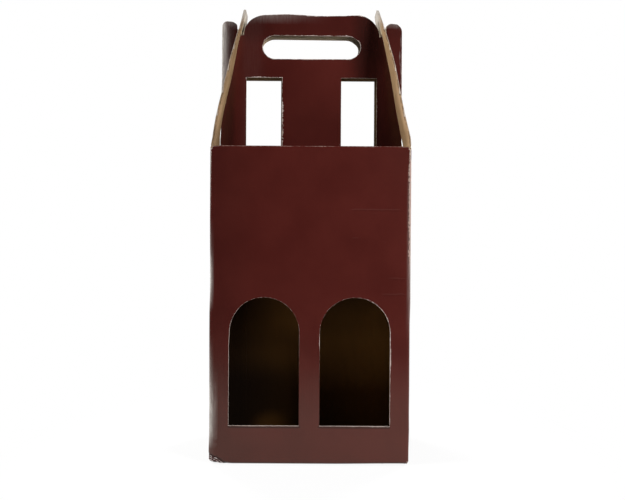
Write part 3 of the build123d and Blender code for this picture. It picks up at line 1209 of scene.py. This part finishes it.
def edge_material():
    """The cut edge: two liners with the waved medium between them."""
    shader = new_material("cut_edge")
    place = shader.place()
    x, y, z = shader.split(place)
    outer, inner, medium = edge_plies(shader, x, y)
    crushed = shader.noise(place, *CRUSHED_FLUTES)
    hollow = shader.mix(shader.step(crushed, 0.42, 0.6), FLUTE_HOLLOW, FLUTE_BROWN)
    color = shader.mix(medium, hollow, FLUTE_BROWN)
    color = shader.mix(inner, color, KRAFT_LIGHT)
    color = shader.mix(outer, color, LINER_GREY)
    # Painted shade on the cut edges inside the box
    behind = shader.step(y, BOARD - HALF_DEPTH, BOARD - HALF_DEPTH + 2.0)
    color = shader.cover(color, shader.value("inside"), behind, shaded_kraft(shader))
    above = shader.step(z, OVER_ARCHES, OVER_ARCHES + 10.0)
    at_window = shader.rest(shader.greater(behind, above))
    color = shader.cover(color, at_window, 0.8, RIM_GREY)
    # Painted light: the cut edges at the flap tips are painted pale grey
    color = shader.mix(shader.step(z, 366.0, 384.0), color, TIP_GREY)
    paper = shader.greater(shader.greater(inner, outer), medium)
    ragged = shader.noise(place, *RAGGED_EDGE)
    height = shader.scale(paper, 0.25, shader.times(ragged, 0.08))
    return shader.finish(color, 0.9, height, 0.1)


# The studio

FLOOR_FRONT = -0.36
FLOOR_SIDE = 1.4
FLOOR_BACK = 2.6
FLOOR_LEVEL = -0.0002  # just under the box
FLOOR_GREY = (0.6, 0.6, 0.6, 1.0)
SHADOW_REACH = (100.0, 260.0)
SHADOW_PART = 0.14
UNDER_BOX = (7.0, 3.0)  # how far inside the outline the floor turns from dark to plain
WHITE = (1.0, 1.0, 1.0, 1.0)
AMBIENT = 0.14
GLOSS_DIM = 0.03

# Lamps: name, place, target, size and power
LAMPS = [
    ("right_lamp", (0.62, -0.42, 0.42), (0, -0.04, 0.20), 0.34, 9.8),
    ("left_lamp", (-0.76, -0.14, 0.55), (0.05, -0.03, 0.28), 0.34, 11.5),
    ("back_left_lamp", (-0.62, 0.80, 0.70), (0, 0, 0.18), 0.4, 11.0),
    ("back_right_lamp", (0.70, 0.72, 0.66), (0, 0, 0.18), 0.4, 11.0),
]

PHOTO_WIDTH = 625.0
FOCAL = 574.0  # in pixels of the photograph
SENSOR = 36.0
CAMERA_PLACE = (0.0018, -0.5104, 0.1752)
CAMERA_TURN = (math.radians(90.0), math.radians(-0.35), 0)
CLIP_START = 0.01


def seen_plain(shader):
    """1 for camera, glossy and transmission rays."""
    path = shader.node("ShaderNodeLightPath").outputs
    seen = shader.greater(path["Is Camera Ray"], path["Is Glossy Ray"])
    return shader.greater(seen, path["Is Transmission Ray"])


def plain_part(shader):
    """How far the floor shows plain white: less near the box, not at all under it."""
    x, y = shader.split(shader.place())[:2]
    away = shader.math("SQRT", shader.plus(shader.times(x, x), shader.times(y, y)))
    plain = shader.scale(shader.step(away, *SHADOW_REACH), SHADOW_PART, 1.0 - SHADOW_PART)
    deep, shallow = UNDER_BOX
    aside = shader.step(shader.size_of(x), HALF_WIDTH - deep, HALF_WIDTH - shallow)
    apart = shader.step(shader.size_of(y), HALF_DEPTH - deep, HALF_DEPTH - shallow)
    plain = shader.times(plain, shader.greater(aside, apart))
    return shader.times(plain, seen_plain(shader))


def floor_material():
    """White floor that keeps the box's soft shadow near it and is plain white farther off."""
    shader = new_material("studio_floor")
    lit = shader.fill(shader.node("ShaderNodeBsdfDiffuse"), {"Color": FLOOR_GREY})
    plain = shader.fill(shader.node("ShaderNodeEmission"), {"Color": WHITE})
    blend = shader.node("ShaderNodeMixShader")
    shader.fill(blend, {0: plain_part(shader), 1: lit, 2: plain})
    return shader.close("ShaderNodeOutputMaterial", blend)


def build_floor():
    """The floor ends in front of the box, so the coat mirrors it low down only."""
    mesh = bpy.data.meshes.new("studio_floor")
    corners = [(x, y, FLOOR_LEVEL) for x, y in (
        (-FLOOR_SIDE, FLOOR_FRONT), (FLOOR_SIDE, FLOOR_FRONT),
        (FLOOR_SIDE, FLOOR_BACK), (-FLOOR_SIDE, FLOOR_BACK),
    )]
    mesh.from_pydata(corners, [], [(0, 1, 2, 3)])
    mesh.materials.append(floor_material())
    floor = bpy.data.objects.new("studio_floor", mesh)
    bpy.context.scene.collection.objects.link(floor)


def build_world():
    """White as the camera sees it, mirrored so behind the box only, and dim light elsewhere."""
    world = bpy.data.worlds.new("studio_world")
    bpy.context.scene.world = world
    shader = Shader(world)
    path = shader.node("ShaderNodeLightPath").outputs
    direction = shader.split(shader.node("ShaderNodeTexCoord").outputs["Generated"])
    behind = shader.step(direction[1], 0.2, 0.8)
    mirrored = shader.greater(path["Is Glossy Ray"], path["Is Transmission Ray"])
    strength = shader.greater(path["Is Camera Ray"], shader.times(mirrored, behind))
    ambient = shader.blend(path["Is Diffuse Ray"], GLOSS_DIM, AMBIENT)
    background = shader.node("ShaderNodeBackground")
    shader.fill(background, {"Color": WHITE, "Strength": shader.greater(strength, ambient)})
    shader.close("ShaderNodeOutputWorld", background)


def build_lamps():
    """A soft lamp close at the right, one at the left for the gable, two behind."""
    for name, place, target, size, power in LAMPS:
        lamp = bpy.data.lights.new(name, "AREA")
        lamp.shape = "DISK"
        lamp.size = size
        lamp.energy = power
        thing = bpy.data.objects.new(name, lamp)
        thing.location = place
        facing = Vector(target) - Vector(place)
        thing.rotation_euler = facing.to_track_quat("-Z", "Y").to_euler()
        bpy.context.scene.collection.objects.link(thing)


def build_camera():
    """The photograph's view: level with the box's middle, half a metre in front."""
    camera = bpy.data.cameras.new("photo_camera")
    camera.sensor_width = SENSOR
    camera.lens = FOCAL / PHOTO_WIDTH * SENSOR
    camera.clip_start = CLIP_START
    thing = bpy.data.objects.new("photo_camera", camera)
    thing.location = CAMERA_PLACE
    thing.rotation_euler = CAMERA_TURN
    bpy.context.scene.collection.objects.link(thing)
    bpy.context.scene.camera = thing


cad_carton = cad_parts["carton"]
cad_limits = [
    [limit(vert.co[way] for vert in cad_carton.data.vertices) for way in range(3)]
    for limit in (min, max)
]
carton = build_carton(cad_carton)
for make in (print_material, kraft_material, edge_material):
    carton.data.materials.append(make())
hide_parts("carton")
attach(carton, "root")

build_floor()
build_world()
build_lamps()
build_camera()
bpy.context.scene.view_settings.view_transform = "Standard"
